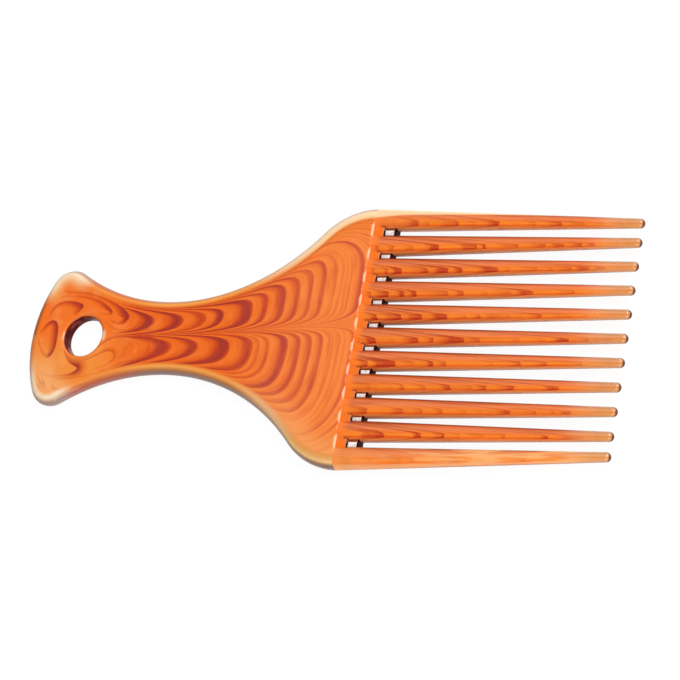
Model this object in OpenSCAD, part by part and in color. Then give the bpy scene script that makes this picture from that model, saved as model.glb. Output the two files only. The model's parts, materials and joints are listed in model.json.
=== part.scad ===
// Afro pick: one moulded comb with eleven long round teeth, a fan-shaped palm plate,
// a waisted grip and a flared butt with a hang hole.
// It lies on its flat back. X runs from the butt to the tooth tips, Y across the teeth
// and Z out of the front face. The origin is under the middle of the whole comb.

/* [Teeth] */
// Number of teeth
tooth_count = 11; // [5:1:15]
// Free length of a tooth, from the end of the root webs to the tip
tooth_l = 66; // [35:0.5:100]
// Diameter of an inner tooth where it leaves the palm
tooth_root_d = 5.7; // [3.6:0.1:5.8]
// Diameter of every tooth at its tip
tooth_tip_d = 2.5; // [1.2:0.1:3.4]
// Gap between two inner teeth where they leave the palm
tooth_gap = 0.5; // [0.4:0.1:4]
// Gap between an outer tooth and its neighbour where they leave the palm
outer_gap = 1.3; // [0.6:0.1:4]
// Distance by which the tip of an outer tooth leans in from its root
outer_lean = 2; // [0:0.1:3.5]

/* [Root webs] */
// Length of the upper step, which joins the teeth right beside the palm
land_l = 2.8; // [1:0.1:6]
// Thickness of the upper step
land_t = 4; // [2.8:0.1:4.8]
// Length of the lower step, which closes each slot
web_l = 3; // [1:0.1:6]
// Thickness of the lower step
web_t = 2.6; // [1:0.1:2.7]

/* [Palm and grip] */
// Thickness of the palm, and of the outer teeth that carry on its edge
palm_t = 5.9; // [5.8:0.1:8]
// Radius of the round shoulder where the palm turns into the outer tooth
shoulder_r = 19.5; // [8:0.5:28]
// Radius of the hollow side that runs from the shoulder through the waist to the butt
side_r = 55.7; // [48:0.1:80]
// Width of the grip at its waist
waist_w = 20; // [14:0.5:28]
// Length over which the palm keeps its full thickness, back from the teeth
palm_flat_l = 13; // [6:0.5:24]

/* [Butt and hang hole] */
// Thickness of the butt
butt_t = 4.4; // [3.2:0.1:5.8]
// Distance from the waist to the centre of the hang hole
waist_to_hole = 24.7; // [20:0.2:30]
// Distance from the centre of the hang hole to the end of the butt
hole_to_end = 16.5; // [13:0.5:20]
// Radius of the shallow curve across the end of the butt
butt_arc_r = 35.7; // [28:0.1:60]
// Radius of the butt's two round corners
corner_r = 6.1; // [3.5:0.1:10]
// Diameter of the hang hole
hole_d = 10.9; // [5:0.1:14]
// Radius of the round on both rims of the hang hole
rim_r = 1.2; // [0.2:0.1:1.4]
// Distance from the hang hole's rim to where the grip starts
hole_margin = 4; // [2:0.5:8]

/* [Hidden] */
// Run of the cutting tools past the faces that they cut
overrun = 1;
// Stations along each arc of the outline, and around the half-round edge
butt_steps = 10;
corner_steps = 14;
side_steps = 30;
shoulder_steps = 14;
edge_steps = 10;
// Stations around a tooth's rounded tip
tip_steps = 8;
// Share of the way from the waist to the teeth at which the palm starts
palm_start_share = 0.35;
// Moulded plastic in a warm amber
amber = [0.93, 0.46, 0.16];
dark_amber = [0.62, 0.2, 0.1];

function tooth_name(i) = str("tooth_", i < 10 ? "0" : "", i);

// Teeth: tooth 1 is the one furthest along +Y
tooth_pitch = tooth_root_d + tooth_gap;
inner_span = tooth_pitch * (tooth_count - 3) / 2;
outer_y = inner_span + tooth_root_d / 2 + outer_gap + palm_t / 2;
palm_w = 2 * outer_y + palm_t;
mid_z = palm_t / 2;

// Places along X, counted from the plane where the teeth leave the palm
side_rise = waist_w / 2 + side_r - (palm_w / 2 - shoulder_r);
root_to_waist = sqrt(pow(side_r + shoulder_r, 2) - pow(side_rise, 2));
root_to_end = root_to_waist + waist_to_hole + hole_to_end;
root_to_tip = land_l + web_l + tooth_l;
total_l = root_to_end + root_to_tip;

// The same places in the comb's own frame
x_end = -total_l / 2;
x_hole = x_end + hole_to_end;
x_waist = x_hole + waist_to_hole;
x_root = x_waist + root_to_waist;
x_grip = x_hole + hole_d / 2 + hole_margin;
x_palm = x_waist + root_to_waist * palm_start_share;
x_flat = x_root - palm_flat_l;

// Centres of the four arcs of the outline's +Y half
butt_c = [x_end + butt_arc_r, 0];
side_c = [x_waist, waist_w / 2 + side_r];
shoulder_c = [x_root, palm_w / 2 - shoulder_r];
corner_c = circles_meet(butt_c, butt_arc_r - corner_r, side_c, side_r + corner_r);

function heading(a, b) = atan2(b[1] - a[1], b[0] - a[0]);

// The left one of the two points where two circles cross
function circles_meet(c1, r1, c2, r2) =
    let (d = norm(c2 - c1))
    let (e = (c2 - c1) / d)
    let (along = (d * d + r1 * r1 - r2 * r2) / (2 * d))
    let (off = sqrt(r1 * r1 - along * along))
    c1 + along * e + off * [-e[1], e[0]];

// Stations on an arc, each a point with the outline's outward direction
function arc_stations(c, r, from, to, steps, out, first = 0) = [
    for (i = [first:steps])
        let (a = from + (to - from) * i / steps)
        let (radial = [cos(a), sin(a)])
        [c + r * radial, out * radial]
];

// Outline of the +Y half, from the middle of the butt round to past the tooth roots
outline = concat(
    arc_stations(butt_c, butt_arc_r, 180, heading(butt_c, corner_c), butt_steps, 1),
    arc_stations(corner_c, corner_r, heading(butt_c, corner_c), heading(corner_c, side_c),
        corner_steps, 1, 1),
    arc_stations(side_c, side_r, heading(side_c, corner_c), heading(side_c, shoulder_c),
        side_steps, -1, 1),
    arc_stations(shoulder_c, shoulder_r, heading(shoulder_c, side_c), 90,
        shoulder_steps, 1, 1),
    [[[x_root + overrun, palm_w / 2], [0, 1]]]
);
last = len(outline) - 1;

// Half the thickness at a place along X: even on the butt, then rising to the palm's
function ease(t) = t * t * (3 - 2 * t);
function half_t(x) =
    let (t = min(1, max(0, (x - x_grip) / (x_flat - x_grip))))
    (butt_t + (palm_t - butt_t) * ease(t)) / 2;

// Point k of station i on the half-round edge, from the front face to the back face
function edge_point(i, k, side) =
    let (p = outline[i][0])
    let (out = outline[i][1])
    let (a = 90 - 180 * k / edge_steps)
    let (q = p - out * half_t(p[0]) * (1 - cos(a)))
    [q[0], side * q[1], half_t(q[0]) * (1 + sin(a))];
ring = edge_steps + 1;
function index(i, k, side) =
    side > 0 || i == 0 ? i * ring + k : (last + i) * ring + k;
function turned(face, side) = side > 0 ? face : [for (i = [1:len(face)]) face[len(face) - i]];

// Whole handle blank with its half-round edge, before it is divided
module handle_blank() {
    left = [for (i = [0:last]) for (k = [0:edge_steps]) edge_point(i, k, 1)];
    right = [for (i = [1:last]) for (k = [0:edge_steps]) edge_point(i, k, -1)];
    edge_faces = [
        for (side = [1, -1]) for (i = [0:last - 1]) for (k = [0:edge_steps - 1]) each [
            turned([index(i, k, side), index(i, k + 1, side), index(i + 1, k + 1, side)], side),
            turned([index(i, k, side), index(i + 1, k + 1, side), index(i + 1, k, side)], side)
        ]
    ];
    front_faces = [
        for (i = [0:last - 1])
            i == 0
                ? [index(0, 0, 1), index(1, 0, 1), index(1, 0, -1)]
                : [index(i, 0, 1), index(i + 1, 0, 1), index(i + 1, 0, -1), index(i, 0, -1)]
    ];
    back_faces = [
        for (i = [0:last - 1])
            i == 0
                ? [index(0, edge_steps, 1), index(1, edge_steps, -1), index(1, edge_steps, 1)]
                : [index(i, edge_steps, 1), index(i, edge_steps, -1),
                    index(i + 1, edge_steps, -1), index(i + 1, edge_steps, 1)]
    ];
    root_face = concat(
        [for (k = [0:edge_steps]) index(last, k, 1)],
        [for (k = [0:edge_steps]) index(last, edge_steps - k, -1)]
    );
    polyhedron(
        points = concat(left, right),
        faces = concat(edge_faces, front_faces, back_faces, [root_face]),
        convexity = 4
    );
}

// Stretch of the handle between two places along X
module handle_stretch(from, to) {
    intersection() {
        handle_blank();
        translate([from, -palm_w, -overrun])
            cube([to - from, 2 * palm_w, palm_t + 2 * overrun]);
    }
}

// Tool for one rim of the hang hole: what lies outside the round, above its start
module rim_cutter() {
    rotate_extrude($fn = 96)
        difference() {
            translate([hole_d / 2 - overrun, 0])
                square([overrun + rim_r, rim_r + overrun]);
            translate([hole_d / 2 + rim_r, 0])
                circle(r = rim_r, $fn = 64);
        }
}

// Flared end of the handle with the hang hole
module butt_end() {
    color(amber)
        difference() {
            handle_stretch(x_end - overrun, x_grip);
            translate([x_hole, 0, -overrun])
                cylinder(d = hole_d, h = butt_t + 2 * overrun, $fn = 96);
            translate([x_hole, 0, butt_t - rim_r])
                rim_cutter();
            translate([x_hole, 0, rim_r])
                mirror([0, 0, 1])
                    rim_cutter();
        }
}

// Waisted part that the hand closes round
module grip() {
    color(amber)
        handle_stretch(x_grip, x_palm);
}

// Fan-shaped plate that carries the teeth
module palm_plate() {
    color(amber)
        handle_stretch(x_palm, x_root);
}

// Place and lean of tooth i
function is_outer(i) = i == 1 || i == tooth_count;
function tooth_side(i) = i == 1 ? 1 : -1;
function tooth_y(i) =
    is_outer(i) ? tooth_side(i) * outer_y : tooth_pitch * ((tooth_count + 1) / 2 - i);
function tooth_turn(i) =
    is_outer(i) ? -tooth_side(i) * atan(outer_lean / (root_to_tip - tooth_tip_d / 2)) : 0;
function tooth_d(i) = is_outer(i) ? palm_t : tooth_root_d;

// Half section of a tooth from a little before its root plane to its rounded tip
function tooth_profile(root_d, l) =
    let (tip_r = tooth_tip_d / 2)
    let (shank_l = l - tip_r)
    let (start_r = root_d / 2 + (root_d / 2 - tip_r) * overrun / shank_l)
    concat(
        [[0, -overrun], [start_r, -overrun]],
        [for (k = [0:tip_steps - 1])
            let (a = 90 * k / tip_steps)
            [tip_r * cos(a), shank_l + tip_r * sin(a)]],
        [[0, l]]
    );

// Tooth i with the run past its root plane still on it
module tooth_blank(i) {
    translate([x_root, tooth_y(i), mid_z])
        rotate([0, 0, tooth_turn(i)])
            rotate([0, 90, 0])
                rotate_extrude($fn = 64)
                    polygon(tooth_profile(tooth_d(i), root_to_tip / cos(tooth_turn(i))));
}

// Round tapered tooth, cut square where it meets the palm
module tooth(i) {
    color(amber)
        difference() {
            tooth_blank(i);
            translate([x_root - 2 * overrun, tooth_y(i) - palm_t, -overrun])
                cube([2 * overrun, 2 * palm_t, palm_t + 2 * overrun]);
        }
}

// Bar of a stated thickness from the middle of tooth i to that of the next one
module web_bar(i, from, l, t) {
    translate([from, tooth_y(i + 1), mid_z - t / 2])
        cube([l, tooth_y(i) - tooth_y(i + 1), t]);
}

// Stepped webs that close the inner ends of the slots
module root_webs() {
    color(dark_amber)
        for (i = [1:tooth_count - 1])
            difference() {
                union() {
                    web_bar(i, x_root, land_l, land_t);
                    web_bar(i, x_root, land_l + web_l, web_t);
                }
                tooth_blank(i);
                tooth_blank(i + 1);
            }
}

butt_end();
grip();
palm_plate();
root_webs();
for (i = [1:tooth_count])
    tooth(i);
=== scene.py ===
# Afro pick: one moulding of glossy marbled plastic that lies on its flat back.
import json
import math
import bpy
import bmesh
import numpy as np
from mathutils import Matrix, Vector


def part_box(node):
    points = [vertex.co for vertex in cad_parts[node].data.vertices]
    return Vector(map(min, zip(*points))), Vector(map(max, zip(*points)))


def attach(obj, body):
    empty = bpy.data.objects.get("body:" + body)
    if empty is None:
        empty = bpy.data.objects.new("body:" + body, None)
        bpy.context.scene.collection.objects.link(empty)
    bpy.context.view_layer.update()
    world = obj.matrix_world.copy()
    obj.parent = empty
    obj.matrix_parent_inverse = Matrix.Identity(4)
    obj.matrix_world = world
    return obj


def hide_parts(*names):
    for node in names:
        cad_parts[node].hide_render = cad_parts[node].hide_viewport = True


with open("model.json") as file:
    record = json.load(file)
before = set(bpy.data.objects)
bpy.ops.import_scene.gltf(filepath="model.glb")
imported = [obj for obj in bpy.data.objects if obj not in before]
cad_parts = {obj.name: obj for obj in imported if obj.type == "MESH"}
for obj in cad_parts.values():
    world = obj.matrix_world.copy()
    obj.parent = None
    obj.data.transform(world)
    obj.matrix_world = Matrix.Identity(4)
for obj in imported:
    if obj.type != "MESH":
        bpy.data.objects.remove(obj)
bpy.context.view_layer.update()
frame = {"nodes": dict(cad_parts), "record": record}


# Paper floor: a seamless white sweep that the pick lies on. It is white to the lens, in
# reflections and through clear plastic, and keeps a soft shadow under the pick.
MM = 0.001
FLOOR_HALF_W = 3000
FLOOR_GAP = 0.05
PAPER, WHITE = "#f6f6f6", "#ffffff"
PAPER_GLOW, PAPER_GLOW_SHARE = 1.05, 0.9
SHARP = 35

MATH, VECTOR, RANGE = "ShaderNodeMath", "ShaderNodeVectorMath", "ShaderNodeMapRange"
MIX, RAMP, CURVE = "ShaderNodeMix", "ShaderNodeValToRGB", "ShaderNodeFloatCurve"
NOISE, SPLIT, JOIN = "ShaderNodeTexNoise", "ShaderNodeSeparateXYZ", "ShaderNodeCombineXYZ"
COORDS, ATTRIBUTE = "ShaderNodeTexCoord", "ShaderNodeAttribute"
PLASTIC, SURFACE = "ShaderNodeBsdfPrincipled", "ShaderNodeOutputMaterial"
SOFT = {"interpolation_type": "SMOOTHSTEP"}
# Outputs of nodes that aren't their first
OBJECT_COORDS, FACTOR, AS_VECTOR, COLOUR, VALUE = 3, 2, 1, 2, 1


def linear(hex_colour):
    """An sRGB hex colour as linear red, green and blue with full alpha."""
    parts = [int(hex_colour[i:i + 2], 16) / 255 for i in (1, 3, 5)]
    return [p / 12.92 if p <= 0.04045 else ((p + 0.055) / 1.055) ** 2.4 for p in parts] + [1.0]


def add(tree, kind, settings, *inputs, output=0):
    """Adds a node, fills its inputs in order with links, values or hex colours, and returns
    one of its outputs.

    settings is the node's operation, or else a dict of its properties, of inputs by name,
    with a capital, and of the points of a ramp or a curve. Where those don't run from 0 to 1,
    the last input is mapped from their span first.
    """
    if isinstance(settings, str):
        settings = {"operation": settings}
    points = settings.get("points", [])
    if points and (points[0][0], points[-1][0]) != (0, 1):
        low, high = points[0][0], points[-1][0]
        points = [((at - low) / (high - low), value) for at, value in points]
        inputs = inputs[:-1] + (add(tree, RANGE, {}, inputs[-1], low, high),)
    node = tree.nodes.new(kind)
    for name, value in settings.items():
        if name.islower() and name != "points":
            setattr(node, name, value)
    sockets = {socket.identifier: socket for socket in node.inputs}
    given = list(zip(node.inputs, inputs))
    given += [(sockets[name], value) for name, value in settings.items() if not name.islower()]
    for socket, value in given:
        if isinstance(value, bpy.types.NodeSocket):
            tree.links.new(value, socket)
        elif isinstance(value, str) and value.startswith("#"):
            socket.default_value = linear(value)
        elif value is not None:
            socket.default_value = value
    if kind == RAMP:
        for spare in points[2:]:
            node.color_ramp.elements.new(0.5)
        for stop, (at, colour) in zip(node.color_ramp.elements, points):
            stop.position = at
            stop.color = linear(colour)
    elif kind == CURVE:
        curve = node.mapping.curves[0]
        for spare in points[2:]:
            curve.points.new(0.5, 0.5)
        for point, place in zip(curve.points, points):
            point.location = place
            point.handle_type = "VECTOR"
        node.mapping.update()
    return node.outputs[output] if node.outputs else None


def empty_material(name):
    """A material with nothing in its node tree, and that tree."""
    material = bpy.data.materials.new(name)
    material.use_nodes = True
    material.node_tree.nodes.clear()
    return material, material.node_tree


class Shell:
    """A closed skin put together from strips. Points that coincide are used once."""

    def __init__(self):
        self.verts, self.faces, self.index = [], [], {}

    def place(self, point):
        """The number of a point, which is new if none was there."""
        key = tuple(round(v, 4) for v in point)
        if key not in self.index:
            self.index[key] = len(self.verts)
            self.verts.append(point)
        return self.index[key]

    def face(self, points):
        """One face, left out if it has shrunk to a line."""
        ring = [self.place(p) for p in points]
        ring = [v for n, v in enumerate(ring) if v != ring[n - 1]]
        if len(ring) > 2:
            self.faces.append(ring)

    def skin(self, rows, closed=False):
        """Quads between rows of points."""
        for a, b in zip(rows, rows[1:]):
            for j in range(len(a) if closed else len(a) - 1):
                k = (j + 1) % len(a)
                self.face([a[j], b[j], b[k], a[k]])


def add_piece(name, shell, material):
    """A mesh object at the origin from a shell in millimetres, smooth up to sharp edges."""
    mesh = bpy.data.meshes.new(name)
    mesh.from_pydata([Vector(v) * MM for v in shell.verts], [], shell.faces)
    skin = bmesh.new()
    skin.from_mesh(mesh)
    bmesh.ops.recalc_face_normals(skin, faces=skin.faces)
    skin.to_mesh(mesh)
    skin.free()
    mesh.polygons.foreach_set("use_smooth", [True] * len(mesh.polygons))
    mesh.set_sharp_from_angle(angle=math.radians(SHARP))
    mesh.materials.append(material)
    piece = bpy.data.objects.new(name, mesh)
    bpy.context.scene.collection.objects.link(piece)
    return piece


def seamless_paper():
    """Matt paper that also glows towards the lens, reflections and clear plastic."""
    material, tree = empty_material("seamless_paper")
    path = tree.nodes.new("ShaderNodeLightPath").outputs
    seen = add(tree, MATH, "MAXIMUM", path["Is Camera Ray"], path["Is Glossy Ray"])
    seen = add(tree, MATH, "MAXIMUM", seen, path["Is Transmission Ray"])
    share = add(tree, MATH, "MULTIPLY", seen, PAPER_GLOW_SHARE)
    matt = add(tree, "ShaderNodeBsdfDiffuse", {}, PAPER)
    glow = add(tree, "ShaderNodeEmission", {}, WHITE, PAPER_GLOW)
    both = add(tree, "ShaderNodeMixShader", {}, share, matt, glow)
    add(tree, SURFACE, {}, both)
    return material


sheet = Shell()
sheet.face([(x * FLOOR_HALF_W, y * FLOOR_HALF_W, -FLOOR_GAP)
            for x, y in ((-1, -1), (1, -1), (1, 1), (-1, 1))])
floor = add_piece("paper_floor", sheet, seamless_paper())


# Camera: a long lens that looks down on the front face from the tooth side, with the whole
# pick in a square frame. The turns bring the lens from straight above to where it stands.
LENS, SENSOR, FAR_CLIP = 148.84, 36.0, 20
DISTANCE, SIDE_STEP, RISE = 702.3, -3.9, -0.49
TILT, SWING, ROLL = 21.337, 27.152, 0.172
AIM_BEFORE_ROOT = 0.96

scene = bpy.context.scene
palm_low, palm_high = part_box("palm_plate")
ROOT_X, PALM_T = palm_high.x / MM, palm_high.z / MM
lens = bpy.data.cameras.new("camera")
lens.lens = LENS
lens.sensor_width = SENSOR
lens.clip_end = FAR_CLIP
camera = bpy.data.objects.new("camera", lens)
scene.collection.objects.link(camera)
turned = (Matrix.Rotation(math.radians(TILT), 4, "X")
          @ Matrix.Rotation(math.radians(SWING), 4, "Y")
          @ Matrix.Rotation(math.radians(ROLL), 4, "Z"))
aim = Vector((ROOT_X - AIM_BEFORE_ROOT, 0, PALM_T / 2)) * MM
stand = Vector((SIDE_STEP, RISE, DISTANCE)) * MM
camera.matrix_world = Matrix.Translation(aim) @ turned @ Matrix.Translation(stand)
scene.camera = camera


# Studio light: an even white room with three soft boxes, one high up beyond the tips and one
# low on each side. None stands where the flat front face would mirror it into the lens.
ROOM_LIGHT = 0.26
# Name, place and width in metres, and power
SOFT_BOXES = [("tips", (0.56, 0.33, 0.8), 0.45, 6.6),
              ("front", (0.3, -0.9, 0.45), 0.8, 6.2),
              ("back", (0.3, 0.9, 0.45), 0.8, 5.0)]

scene.view_settings.view_transform = "Standard"
world = bpy.data.worlds.new("white_room")
world.use_nodes = True
scene.world = world
room = world.node_tree
room.nodes.clear()
path = room.nodes.new("ShaderNodeLightPath").outputs
seen = add(room, MATH, "MAXIMUM", path["Is Camera Ray"], path["Is Transmission Ray"])
strength = add(room, RANGE, {}, seen, 0.0, 1.0, ROOM_LIGHT, 1.0)
glow = add(room, "ShaderNodeBackground", {}, WHITE, strength)
add(room, "ShaderNodeOutputWorld", {}, glow)
for name, place, width, power in SOFT_BOXES:
    lamp = bpy.data.lights.new("soft_box_" + name, "AREA")
    lamp.size = width
    lamp.energy = power
    box = bpy.data.objects.new("soft_box_" + name, lamp)
    box.location = place
    box.rotation_euler = (-Vector(place)).to_track_quat("-Z", "Y").to_euler()
    scene.collection.objects.link(box)


# Handle: the palm plate, the waisted grip and the flared butt with its hang hole. It is
# injection moulded in clear styrene with streaks of amber and maroon that the flow drew
# into nested arches, and its half-round edge holds hardly any pigment. Its colour also paints
# light and shade: shade and a highlight band round the edge, dark lines of shade along it,
# highlights on the root step and at the hang hole, and shade on the hang hole's wall.
SIDE_R, SHOULDER_R = 55.7, 19.5
BUTT_ARC_R, CORNER_R = 35.7, 6.1
WAIST_W, WAIST_TO_HOLE = 20.0, 24.7
PALM_FLAT_L = 13.0
STEP_ROUND, STEP_ROUND_START = 0.8, 0.15
BUTT_STEPS, CORNER_STEPS, SIDE_STEPS, SHOULDER_STEPS = 44, 40, 130, 40
EDGE_STEPS, ACROSS_STEPS, RAY_STEPS, RIM_STEPS = 16, 96, 40, 6
# How far the rows across the palm crowd towards its edges, and how close rows may come
CROWDING, ROW_GAP = 0.4, 0.01

butt_low, butt_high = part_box("butt_end")
END_X, GRIP_X, BUTT_T = butt_low.x / MM, butt_high.x / MM, butt_high.z / MM
PALM_HALF_W = palm_high.y / MM
hang_hole = next(m for m in frame["record"]["mounts"] if m["name"] == "hang_hole")
HOLE_X, HOLE_R = hang_hole["pos_m"][0] / MM, hang_hole["dims"]["r_mm"]
HOLE_RIM_R = (BUTT_T - hang_hole["dims"]["length_mm"]) / 2
WAIST_X = HOLE_X + WAIST_TO_HOLE

TOOTH_TIP_D = 2.5
OUTER_LEAN = 2.0
MID_Z = PALM_T / 2
tooth_boxes = {n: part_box(n) for n in frame["nodes"] if n.startswith("tooth_")}
ROOT_TO_TIP = max(high.x for low, high in tooth_boxes.values()) / MM - ROOT_X


class Tooth:
    """Where a tooth stands: its centre line and its radius along X.

    The two outer teeth are as thick as the palm and lean inwards on their way to the tip.
    """

    def __init__(self, name, low, high):
        self.name = name
        self.root_r = (high.z - low.z) / 2 / MM
        self.root_y = (low.y + high.y) / 2 / MM
        self.lean = 0.0
        if high.z / MM > 0.99 * PALM_T:
            side = 1 if high.y > 0 else -1
            self.root_y = side * (PALM_HALF_W - MID_Z)
            self.lean = -side * math.atan(OUTER_LEAN / (ROOT_TO_TIP - TOOTH_TIP_D / 2))

    def centre(self, x):
        return self.root_y + math.tan(self.lean) * (x - ROOT_X)

    def radius(self, x):
        run = ROOT_TO_TIP / math.cos(self.lean) - TOOTH_TIP_D / 2
        share = (x - ROOT_X) / math.cos(self.lean) / run
        return self.root_r + (TOOTH_TIP_D / 2 - self.root_r) * share


teeth = [Tooth(name, *tooth_boxes[name]) for name in sorted(tooth_boxes)]


def arc(centre, radius, start, end, steps, outward):
    """Stations on an arc after its start: complex points, each with its outward direction."""
    angles = [start + (end - start) * i / steps for i in range(1, steps + 1)]
    radials = [complex(math.cos(a), math.sin(a)) for a in angles]
    return [(centre + radius * radial, outward * radial) for radial in radials]


def heading(a, b):
    """The direction from one complex point to another as an angle."""
    return math.atan2((b - a).imag, (b - a).real)


def circles_meet(centre_1, radius_1, centre_2, radius_2):
    """The left one of the two points where two circles cross."""
    gap = abs(centre_2 - centre_1)
    along = (gap * gap + radius_1 ** 2 - radius_2 ** 2) / (2 * gap)
    off = math.sqrt(radius_1 ** 2 - along ** 2)
    return centre_1 + (centre_2 - centre_1) / gap * complex(along, off)


def handle_outline():
    """Stations from the middle of the butt, round the +Y side, to the root plane."""
    butt = complex(END_X + BUTT_ARC_R, 0)
    side = complex(WAIST_X, WAIST_W / 2 + SIDE_R)
    shoulder = complex(ROOT_X, PALM_HALF_W - SHOULDER_R)
    corner = circles_meet(butt, BUTT_ARC_R - CORNER_R, side, SIDE_R + CORNER_R)
    found = [(complex(END_X, 0), complex(-1, 0))]
    found += arc(butt, BUTT_ARC_R, math.pi, heading(butt, corner), BUTT_STEPS, 1)
    found += arc(corner, CORNER_R, heading(butt, corner), heading(corner, side), CORNER_STEPS, 1)
    found += arc(side, SIDE_R, heading(side, corner), heading(side, shoulder), SIDE_STEPS, -1)
    found += arc(shoulder, SHOULDER_R, heading(shoulder, side), math.pi / 2, SHOULDER_STEPS, 1)
    return found


def thickness(x):
    """The butt's thickness, then an even rise over the grip to the palm's."""
    t = min(1, max(0, (x - GRIP_X) / (ROOT_X - PALM_FLAT_L - GRIP_X)))
    return BUTT_T + (PALM_T - BUTT_T) * t * t * (3 - 2 * t)


def step_rounds(places):
    """The root step's round at each place along Y. It grows with the drop to the teeth."""
    found = []
    for y in places:
        tops = [math.sqrt(max(0, t.root_r ** 2 - (y - t.root_y) ** 2)) for t in teeth]
        drop = PALM_T - MID_Z - max(tops)
        found.append(min(STEP_ROUND, max(0, drop - STEP_ROUND_START)))
    found[0] = found[-1] = 0
    return found


def handle_shell(outline):
    """The handle's closed skin."""
    last = len(outline) - 1
    inner = [p - out * thickness(p.real) / 2 for p, out in outline]
    shell = Shell()

    # Half-round edge along both sides
    for side in (1, -1):
        rows = []
        for p, out in outline:
            row = []
            for k in range(EDGE_STEPS + 1):
                a = math.pi * (0.5 - k / EDGE_STEPS)
                q = p - out * thickness(p.real) / 2 * (1 - math.cos(a))
                row.append((q.real, side * q.imag, thickness(q.real) / 2 * (1 + math.sin(a))))
            rows.append(row)
        shell.skin(rows)
        shell.face(rows[-1])

    # Flat faces from the butt to the root plane, with a round on both edges of the root face
    join = next(i for i in range(BUTT_STEPS + CORNER_STEPS, last) if inner[i].real > GRIP_X)
    even = [1 - 2 * j / ACROSS_STEPS for j in range(ACROSS_STEPS + 1)]
    spread = [(1 - CROWDING) * s + CROWDING * math.sin(math.pi / 2 * s) for s in even]
    half_w = inner[last].imag
    rounds = step_rounds([half_w * s for s in spread])
    root_rows = {}
    for front in (True, False):
        rows = []
        for i in range(join, last):
            z = thickness(inner[i].real) if front else 0.0
            before = ROOT_X - inner[i].real
            rows.append([(ROOT_X - max(before, r + ROW_GAP * (last - i)), inner[i].imag * s, z)
                         for s, r in zip(spread, rounds)])
        for k in range(RIM_STEPS + 1):
            a = math.pi / 2 * k / RIM_STEPS
            row = []
            for s, r in zip(spread, rounds):
                drop = r * (1 - math.cos(a))
                x = ROOT_X - r * (1 - math.sin(a))
                row.append((x, half_w * s, PALM_T - drop if front else drop))
            rows.append(row)
        shell.skin(rows)
        root_rows[front] = rows[-1]
    shell.skin([root_rows[True], root_rows[False]])

    # The butt: rays from the hang hole's rounded rim to the half-round edge
    half = inner[:join + 1]
    loop = half[::-1] + [p.conjugate() for p in half[1:]]
    loop += [complex(half[-1].real, -half[-1].imag * s) for s in spread[1:-1]]
    rays = [(p - HOLE_X) / abs(p - HOLE_X) for p in loop]
    walls = {}
    for front in (True, False):
        rows = []
        for k in range(RIM_STEPS + 1):
            a = math.pi / 2 * (1 - k / RIM_STEPS)
            drop = HOLE_RIM_R * (1 - math.cos(a))
            z = BUTT_T - drop if front else drop
            ring = [HOLE_X + ray * (HOLE_R + HOLE_RIM_R * (1 - math.sin(a))) for ray in rays]
            rows.append([(q.real, q.imag, z) for q in ring])
        for k in range(1, RAY_STEPS + 1):
            row = []
            for p, ray in zip(loop, rays):
                start = HOLE_X + ray * (HOLE_R + HOLE_RIM_R)
                q = start + (p - start) * (k / RAY_STEPS)
                row.append((q.real, q.imag, thickness(q.real) if front else 0.0))
            rows.append(row)
        shell.skin(rows, closed=True)
        walls[front] = rows[0]
    shell.skin([walls[False], walls[True]], closed=True)
    return shell


# Fronts of the arches on the +Y and on the -Y side of the seam: place along X and darkness
UPPER_ARCHES = [(-54.6, 0), (-46.3, 1), (-37.3, .95), (-30.6, .6), (-25.7, 1), (-17.3, 1),
                (-13.2, .75), (-8.3, .85), (-4.5, .7), (-1.1, .55), (2.3, .65), (5.3, .3),
                (7, .2), (8.2, .2), (9.4, .2), (12.6, .75), (14.2, .15), (16, .3), (17.6, .2),
                (20, .5), (22, .15), (25.5, .5), (29, .25), (34, .5), (40, .3), (48, .4),
                (60, .2)]
LOWER_ARCHES = [(-60, 0), (-50.5, .15), (-39.3, .9), (-31.2, .85), (-21.8, 1), (-15.2, .75),
                (-13.4, .4), (-10.5, .4), (-5.3, .9), (-1.7, .75), (1.5, .65), (4.6, .65),
                (7.6, .25), (9.3, .15), (11, .15), (13.5, .55), (15, .15), (17.5, .35),
                (20, .2), (24, .5), (28, .2), (33, .4), (39, .25), (47, .4), (60, .2)]
# How far an arch's foot trails at the edge, and how late it starts to
UPPER_BEND, UPPER_POWER, LOWER_BEND, LOWER_POWER, MOST_BEND = 74.0, 7.6, 22.4, 4.6, 60.0
# Darkness over the length of one arch: the pigment thickens towards its crisp front
ARCH_SHAPE = [(0, .02), (.28, .13), (.48, .4), (.66, .88), (.8, 1), (.9, .82), (.96, .45),
              (1, .04)]
FINE_SCALE, FINE_DETAIL, FINE_ACROSS, FINE_LINES = 0.85, 3.0, 4.0, (0.45, 0.75, 0.0, 0.24)
SEAM_START, SEAM_L, SEAM_POWER, SEAM_OFF = 60.0, 72.0, 2.5, 3.1
SEAM_PULL, SEAM_PULL_W = 18.0, -0.85
LINE_GAIN = 1.6
# Where the marbling changes: from and to, in millimetres or shares, and what that becomes
GRIP_NARROWER = (-32.0, -12.0, 1.13, 1.0)
PAST_HOLE, TO_PALM, BESIDE_BUTT = (-62.0, -52.0), (-30.0, 5.0), (-44.0, -58.0)
OUTER_BAND = (0.72, 0.86, 0.0, 0.5)
PALE_ALONG, PALE_ACROSS = (-50.0, -66.0, 0.0, 0.85), (2.0, -8.0)
CLOUD_SCALE, CLOUD_DETAIL, CLOUDS = 0.16, 2.0, (0.48, 0.72, 0.0, 0.45)
CLOUD_ALONG = (-45.0, -62.0, 0.25, 1.0)
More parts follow.
